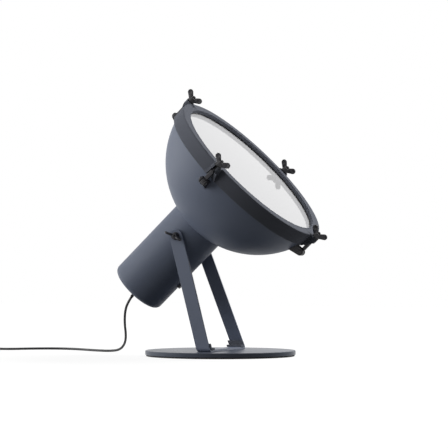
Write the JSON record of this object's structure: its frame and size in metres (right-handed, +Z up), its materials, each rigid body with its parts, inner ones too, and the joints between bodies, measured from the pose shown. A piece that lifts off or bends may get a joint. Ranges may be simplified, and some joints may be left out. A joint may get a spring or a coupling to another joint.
{
  "type": "tabletop searchlight lamp",
  "caption": "Searchlight-shaped table lamp: round head with an opal front glass held by a clamped ring, on a splayed strap yoke over a round base, with cord, in-line switch and plug.",
  "frame": {"origin": "centre of the base's underside, on the surface that the lamp stands on", "axes": "+Z up, +X the way the lamp shines in plan, +Y to its left; at rest the beam rises 44.1 degrees from +X"},
  "size_m": [0.8341, 0.3956, 0.5342],
  "materials": {
    "paint_head": "matte",
    "paint_steel": "matte",
    "hardware": "satin",
    "plated_steel": "satin",
    "reflector_aluminium": "satin",
    "opal_glass": "gloss",
    "bulb_glass": "gloss",
    "rubber_black": "matte",
    "cord_rubber": "satin",
    "switch_plastic": "satin",
    "tie_plastic": "matte",
    "terminal_plastic": "matte",
    "lead_insulation": "matte",
    "holder_ceramic": "satin",
    "fibre": "matte",
    "pin_brass": "satin"
  },
  "bodies": {
    "base": {"base_pad": "rubber_black", "base_plate": "paint_steel", "base_screws": "hardware", "yoke": "paint_steel", "foot_cleats": "paint_steel", "pivot_washers": "hardware", "cord_lead": "cord_rubber", "cord_coil": "cord_rubber", "cord_end": "cord_rubber", "coil_tie": "tie_plastic", "switch_body": "switch_plastic", "plug_body": "switch_plastic", "plug_pins": "pin_brass"},
    "head": {"rear_housing": "paint_head", "dish": "paint_head", "reflector": "reflector_aluminium", "lamp_carrier": "plated_steel", "lampholder": "holder_ceramic", "bulb_cap": "plated_steel", "bulb_glass": "bulb_glass", "terminal_block": "terminal_plastic", "inner_leads": "lead_insulation", "cover_screw": "hardware", "rear_seal": "rubber_black", "front_glass": "opal_glass", "front_gasket": "rubber_black", "front_ring": "paint_head", "strain_relief": "cord_rubber", "relief_nut": "hardware", "pivot_bolts": "hardware", "friction_washers": "fibre", "clamp_brackets": "hardware", "hinge_pins": "hardware", "cord_drop": "cord_rubber"},
    "pivot_nut_left": {"pivot_wing_nut_left": "hardware"},
    "pivot_nut_right": {"pivot_wing_nut_right": "hardware"},
    "rocker": {"switch_rocker": "switch_plastic"},
    "swing_top": {"swing_bolt_top": "hardware", "clamp_washer_top": "hardware"},
    "rim_nut_top": {"rim_wing_nut_top": "hardware"},
    "swing_right": {"swing_bolt_right": "hardware", "clamp_washer_right": "hardware"},
    "rim_nut_right": {"rim_wing_nut_right": "hardware"},
    "swing_bottom": {"swing_bolt_bottom": "hardware", "clamp_washer_bottom": "hardware"},
    "rim_nut_bottom": {"rim_wing_nut_bottom": "hardware"},
    "swing_left": {"swing_bolt_left": "hardware", "clamp_washer_left": "hardware"},
    "rim_nut_left": {"rim_wing_nut_left": "hardware"}
  },
  "joints": [
    {"name": "head_tilt", "type": "hinge", "parent": "base", "child": "head", "pos_m": [-0.0706, 0, 0.23915], "axis": [0, -1, 0], "range_deg": [-34, 46], "deforming": ["cord_drop"]},
    {"name": "pivot_nut_turn_right", "type": "hinge", "parent": "head", "child": "pivot_nut_right", "pos_m": [-0.0706, -0.068, 0.23915], "axis": [0, -1, 0], "continuous": true},
    {"name": "pivot_nut_turn_left", "type": "hinge", "parent": "head", "child": "pivot_nut_left", "pos_m": [-0.0706, 0.068, 0.23915], "axis": [0, 1, 0], "continuous": true},
    {"name": "clamp_swing_top", "type": "hinge", "parent": "head", "child": "swing_top", "pos_m": [-0.09454, 0, 0.48011], "axis": [0, -1, 0], "range_deg": [0, 100]},
    {"name": "rim_nut_turn_top", "type": "hinge", "parent": "swing_top", "child": "rim_nut_top", "pos_m": [-0.06088, 0, 0.51268], "axis": [0.7186, 0, 0.6954], "continuous": true},
    {"name": "clamp_swing_right", "type": "hinge", "parent": "head", "child": "swing_right", "pos_m": [0.03745, -0.1898, 0.34371], "axis": [0.6954, 0, -0.7186], "range_deg": [0, 100]},
    {"name": "rim_nut_turn_right", "type": "hinge", "parent": "swing_right", "child": "rim_nut_right", "pos_m": [0.07111, -0.1898, 0.37628], "axis": [0.7186, 0, 0.6954], "continuous": true},
    {"name": "clamp_swing_bottom", "type": "hinge", "parent": "head", "child": "swing_bottom", "pos_m": [0.16944, 0, 0.20732], "axis": [0, 1, 0], "range_deg": [0, 100]},
    {"name": "rim_nut_turn_bottom", "type": "hinge", "parent": "swing_bottom", "child": "rim_nut_bottom", "pos_m": [0.2031, 0, 0.23989], "axis": [0.7186, 0, 0.6954], "continuous": true},
    {"name": "clamp_swing_left", "type": "hinge", "parent": "head", "child": "swing_left", "pos_m": [0.03745, 0.1898, 0.34371], "axis": [-0.6954, 0, 0.7186], "range_deg": [0, 100]},
    {"name": "rim_nut_turn_left", "type": "hinge", "parent": "swing_left", "child": "rim_nut_left", "pos_m": [0.07111, 0.1898, 0.37628], "axis": [0.7186, 0, 0.6954], "continuous": true},
    {"name": "switch_press", "type": "hinge", "parent": "base", "child": "rocker", "pos_m": [-0.567, 0.0375, 0.0125], "axis": [0.8216, -0.5701, 0], "range_deg": [-16, 0]}
  ]
}
